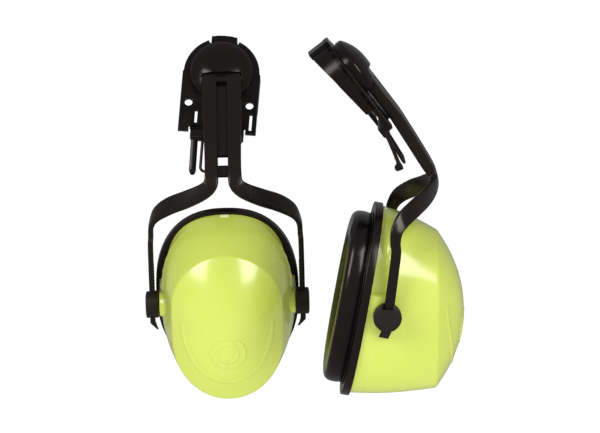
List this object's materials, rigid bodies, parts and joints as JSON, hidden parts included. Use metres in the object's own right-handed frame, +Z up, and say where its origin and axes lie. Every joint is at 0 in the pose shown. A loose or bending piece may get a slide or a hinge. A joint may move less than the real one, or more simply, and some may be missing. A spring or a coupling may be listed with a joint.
{
  "type": "helmet-mounted earmuff pair",
  "caption": "Pair of helmet-mounted earmuffs: hi-vis domed ear cups with black cushions, hung on forked arms that fold, swivel and slide on slot adapters.",
  "frame": {"origin": "the middle of the left unit's helmet side, on the curved tongue that enters the helmet's slot", "axes": "+Z up as worn, -Y the way the left unit's cup faces, +X towards the right unit and the way its cup faces"},
  "size_m": [0.1714, 0.1666, 0.2065],
  "materials": {
    "adapter_plate": "moulded satin black",
    "slot_blade": "moulded satin black",
    "spring_catch": "moulded satin black",
    "release_lever": "moulded satin black",
    "swivel_hub": "moulded, slightly polished black",
    "hub_snap_ring": "spring steel",
    "fold_pin": "ground steel",
    "fold_spring": "spring steel wire",
    "yoke_arm": "moulded satin black",
    "front_knob": "finely textured black",
    "rear_knob": "finely textured black",
    "front_pivot_clip": "spring steel",
    "rear_pivot_clip": "spring steel",
    "cup_shell": "glossy hi-vis yellow-green",
    "back_plate": "satin black",
    "cushion_cover": "smooth glossy black PVC film",
    "cushion_foam": "open-cell foam",
    "cup_foam": "dark open-cell foam"
  },
  "bodies": {
    "helmet_adapters": {"left_adapter_plate": "adapter_plate", "left_slot_blade": "slot_blade", "left_spring_catch": "spring_catch", "right_adapter_plate": "adapter_plate", "right_slot_blade": "slot_blade", "right_spring_catch": "spring_catch"},
    "left_lever": {"left_release_lever": "release_lever"},
    "left_hub": {"left_swivel_hub": "swivel_hub", "left_hub_snap_ring": "hub_snap_ring", "left_fold_pin": "fold_pin", "left_fold_spring": "fold_spring"},
    "left_arm": {"left_yoke_arm": "yoke_arm"},
    "left_knobs": {"left_front_knob": "front_knob", "left_rear_knob": "rear_knob", "left_front_pivot_clip": "front_pivot_clip", "left_rear_pivot_clip": "rear_pivot_clip"},
    "left_cup": {"left_cup_shell": "cup_shell", "left_back_plate": "back_plate", "left_cushion_cover": "cushion_cover", "left_cushion_foam": "cushion_foam", "left_cup_foam": "cup_foam"},
    "right_lever": {"right_release_lever": "release_lever"},
    "right_hub": {"right_swivel_hub": "swivel_hub", "right_hub_snap_ring": "hub_snap_ring", "right_fold_pin": "fold_pin", "right_fold_spring": "fold_spring"},
    "right_arm": {"right_yoke_arm": "yoke_arm"},
    "right_knobs": {"right_front_knob": "front_knob", "right_rear_knob": "rear_knob", "right_front_pivot_clip": "front_pivot_clip", "right_rear_pivot_clip": "rear_pivot_clip"},
    "right_cup": {"right_cup_shell": "cup_shell", "right_back_plate": "back_plate", "right_cushion_cover": "cushion_cover", "right_cushion_foam": "cushion_foam", "right_cup_foam": "cup_foam"}
  },
  "joints": [
    {"name": "left_swivel", "type": "hinge", "parent": "helmet_adapters", "child": "left_hub", "pos_m": [-0.00073, -0.01256, -0.00194], "axis": [0.014, 0.8652, -0.5013], "range_deg": [-14.4, 25.6]},
    {"name": "left_fold", "type": "hinge", "parent": "left_hub", "child": "left_arm", "pos_m": [-0.00069, -0.01847, -0.00337], "axis": [-0.9996, 0, -0.0279], "range_deg": [-12.5, 32.5]},
    {"name": "left_height", "type": "slide", "parent": "left_arm", "child": "left_knobs", "axis": [-0.0279, -0.0371, 0.9989], "range_m": [-0.003, 0.013]},
    {"name": "left_tilt", "type": "hinge", "parent": "left_knobs", "child": "left_cup", "pos_m": [0.00268, -0.04107, -0.12388], "axis": [0.9996, 0, 0.0279], "range_deg": [-36.5, 1.5]},
    {"name": "left_lever_press", "type": "hinge", "parent": "helmet_adapters", "child": "left_lever", "pos_m": [-0.01541, -0.02592, -0.03698], "axis": [-0.9972, 0.0489, 0.0566], "range_deg": [0, 8], "stiffness_Nm_per_rad": 0.2},
    {"name": "right_swivel", "type": "hinge", "parent": "helmet_adapters", "child": "right_hub", "pos_m": [0.06971, -0.11239, 0.01425], "axis": [0.7922, 0.0111, 0.6101], "range_deg": [-20, 20]},
    {"name": "right_fold", "type": "hinge", "parent": "right_hub", "child": "right_arm", "pos_m": [0.07576, -0.11231, 0.0136], "axis": [0.014, -0.9999, 0], "range_deg": [0, 45]},
    {"name": "right_height", "type": "slide", "parent": "right_arm", "child": "right_knobs", "axis": [0.124, 0.0017, 0.9923], "range_m": [-0.001, 0.015]},
    {"name": "right_tilt", "type": "hinge", "parent": "right_knobs", "child": "right_cup", "pos_m": [0.08751, -0.11214, -0.11045], "axis": [-0.014, 0.9999, 0], "range_deg": [-18.4, 19.6]},
    {"name": "right_lever_press", "type": "hinge", "parent": "helmet_adapters", "child": "right_lever", "pos_m": [0.08847, -0.12413, -0.0194], "axis": [0.014, -0.9999, 0], "range_deg": [0, 8], "stiffness_Nm_per_rad": 0.2}
  ]
}
